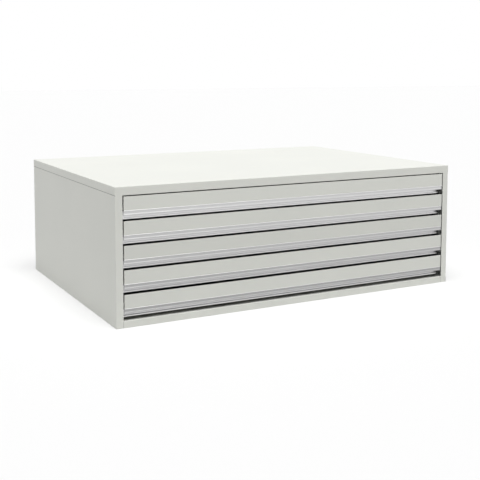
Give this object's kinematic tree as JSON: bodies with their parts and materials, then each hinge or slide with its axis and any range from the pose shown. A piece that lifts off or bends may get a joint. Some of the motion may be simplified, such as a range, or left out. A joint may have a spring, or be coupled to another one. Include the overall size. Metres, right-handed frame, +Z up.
{
  "type": "plan chest",
  "caption": "Low steel plan chest with shallow full-width drawers on telescopic slides, each opened by a full-length aluminium pull under its front.",
  "frame": {"origin": "centre of the chest's footprint, on the surface that it stands on", "axes": "+X to the right as seen from the drawers, +Y from the drawer fronts to the back, +Z up"},
  "size_m": [1.37, 0.965, 0.46],
  "materials": {
    "painted_steel": "light grey-white powder coat",
    "aluminium": "satin anodised",
    "zinc_steel": "bright zinc plate"
  },
  "bodies": {
    "cabinet": {"top_cap": "painted_steel", "bottom_panel": "painted_steel", "side_panel_left": "painted_steel", "side_panel_right": "painted_steel", "back_panel": "painted_steel", "front_post_left": "zinc_steel", "front_post_right": "zinc_steel", "rear_post_left": "zinc_steel", "rear_post_right": "zinc_steel", "slide_1_cabinet_member_left": "zinc_steel", "slide_1_cabinet_member_right": "zinc_steel", "slide_2_cabinet_member_left": "zinc_steel", "slide_2_cabinet_member_right": "zinc_steel", "slide_3_cabinet_member_left": "zinc_steel", "slide_3_cabinet_member_right": "zinc_steel", "slide_4_cabinet_member_left": "zinc_steel", "slide_4_cabinet_member_right": "zinc_steel", "slide_5_cabinet_member_left": "zinc_steel", "slide_5_cabinet_member_right": "zinc_steel"},
    "slide_1_middle": {"slide_1_middle_member_left": "zinc_steel", "slide_1_middle_member_right": "zinc_steel"},
    "drawer_1": {"drawer_1_front": "painted_steel", "drawer_1_handle": "aluminium", "drawer_1_tray": "painted_steel", "drawer_1_screws": "zinc_steel", "slide_1_drawer_member_left": "zinc_steel", "slide_1_drawer_member_right": "zinc_steel"},
    "slide_2_middle": {"slide_2_middle_member_left": "zinc_steel", "slide_2_middle_member_right": "zinc_steel"},
    "drawer_2": {"drawer_2_front": "painted_steel", "drawer_2_handle": "aluminium", "drawer_2_tray": "painted_steel", "drawer_2_screws": "zinc_steel", "slide_2_drawer_member_left": "zinc_steel", "slide_2_drawer_member_right": "zinc_steel"},
    "slide_3_middle": {"slide_3_middle_member_left": "zinc_steel", "slide_3_middle_member_right": "zinc_steel"},
    "drawer_3": {"drawer_3_front": "painted_steel", "drawer_3_handle": "aluminium", "drawer_3_tray": "painted_steel", "drawer_3_screws": "zinc_steel", "slide_3_drawer_member_left": "zinc_steel", "slide_3_drawer_member_right": "zinc_steel"},
    "slide_4_middle": {"slide_4_middle_member_left": "zinc_steel", "slide_4_middle_member_right": "zinc_steel"},
    "drawer_4": {"drawer_4_front": "painted_steel", "drawer_4_handle": "aluminium", "drawer_4_tray": "painted_steel", "drawer_4_screws": "zinc_steel", "slide_4_drawer_member_left": "zinc_steel", "slide_4_drawer_member_right": "zinc_steel"},
    "slide_5_middle": {"slide_5_middle_member_left": "zinc_steel", "slide_5_middle_member_right": "zinc_steel"},
    "drawer_5": {"drawer_5_front": "painted_steel", "drawer_5_handle": "aluminium", "drawer_5_tray": "painted_steel", "drawer_5_screws": "zinc_steel", "slide_5_drawer_member_left": "zinc_steel", "slide_5_drawer_member_right": "zinc_steel"}
  },
  "joints": [
    {"name": "drawer_1_slide", "type": "slide", "parent": "cabinet", "child": "drawer_1", "axis": [0, -1, 0], "range_m": [0, 0.86]},
    {"name": "slide_1_middle_slide", "type": "slide", "parent": "cabinet", "child": "slide_1_middle", "axis": [0, -1, 0], "range_m": [0, 0.43]},
    {"name": "drawer_2_slide", "type": "slide", "parent": "cabinet", "child": "drawer_2", "axis": [0, -1, 0], "range_m": [0, 0.86]},
    {"name": "slide_2_middle_slide", "type": "slide", "parent": "cabinet", "child": "slide_2_middle", "axis": [0, -1, 0], "range_m": [0, 0.43]},
    {"name": "drawer_3_slide", "type": "slide", "parent": "cabinet", "child": "drawer_3", "axis": [0, -1, 0], "range_m": [0, 0.86]},
    {"name": "slide_3_middle_slide", "type": "slide", "parent": "cabinet", "child": "slide_3_middle", "axis": [0, -1, 0], "range_m": [0, 0.43]},
    {"name": "drawer_4_slide", "type": "slide", "parent": "cabinet", "child": "drawer_4", "axis": [0, -1, 0], "range_m": [0, 0.86]},
    {"name": "slide_4_middle_slide", "type": "slide", "parent": "cabinet", "child": "slide_4_middle", "axis": [0, -1, 0], "range_m": [0, 0.43]},
    {"name": "drawer_5_slide", "type": "slide", "parent": "cabinet", "child": "drawer_5", "axis": [0, -1, 0], "range_m": [0, 0.86]},
    {"name": "slide_5_middle_slide", "type": "slide", "parent": "cabinet", "child": "slide_5_middle", "axis": [0, -1, 0], "range_m": [0, 0.43]}
  ],
  "couplings": [
    {"joint": "slide_1_middle_slide", "follows": "drawer_1_slide", "ratio": 0.5},
    {"joint": "slide_2_middle_slide", "follows": "drawer_2_slide", "ratio": 0.5},
    {"joint": "slide_3_middle_slide", "follows": "drawer_3_slide", "ratio": 0.5},
    {"joint": "slide_4_middle_slide", "follows": "drawer_4_slide", "ratio": 0.5},
    {"joint": "slide_5_middle_slide", "follows": "drawer_5_slide", "ratio": 0.5}
  ]
}
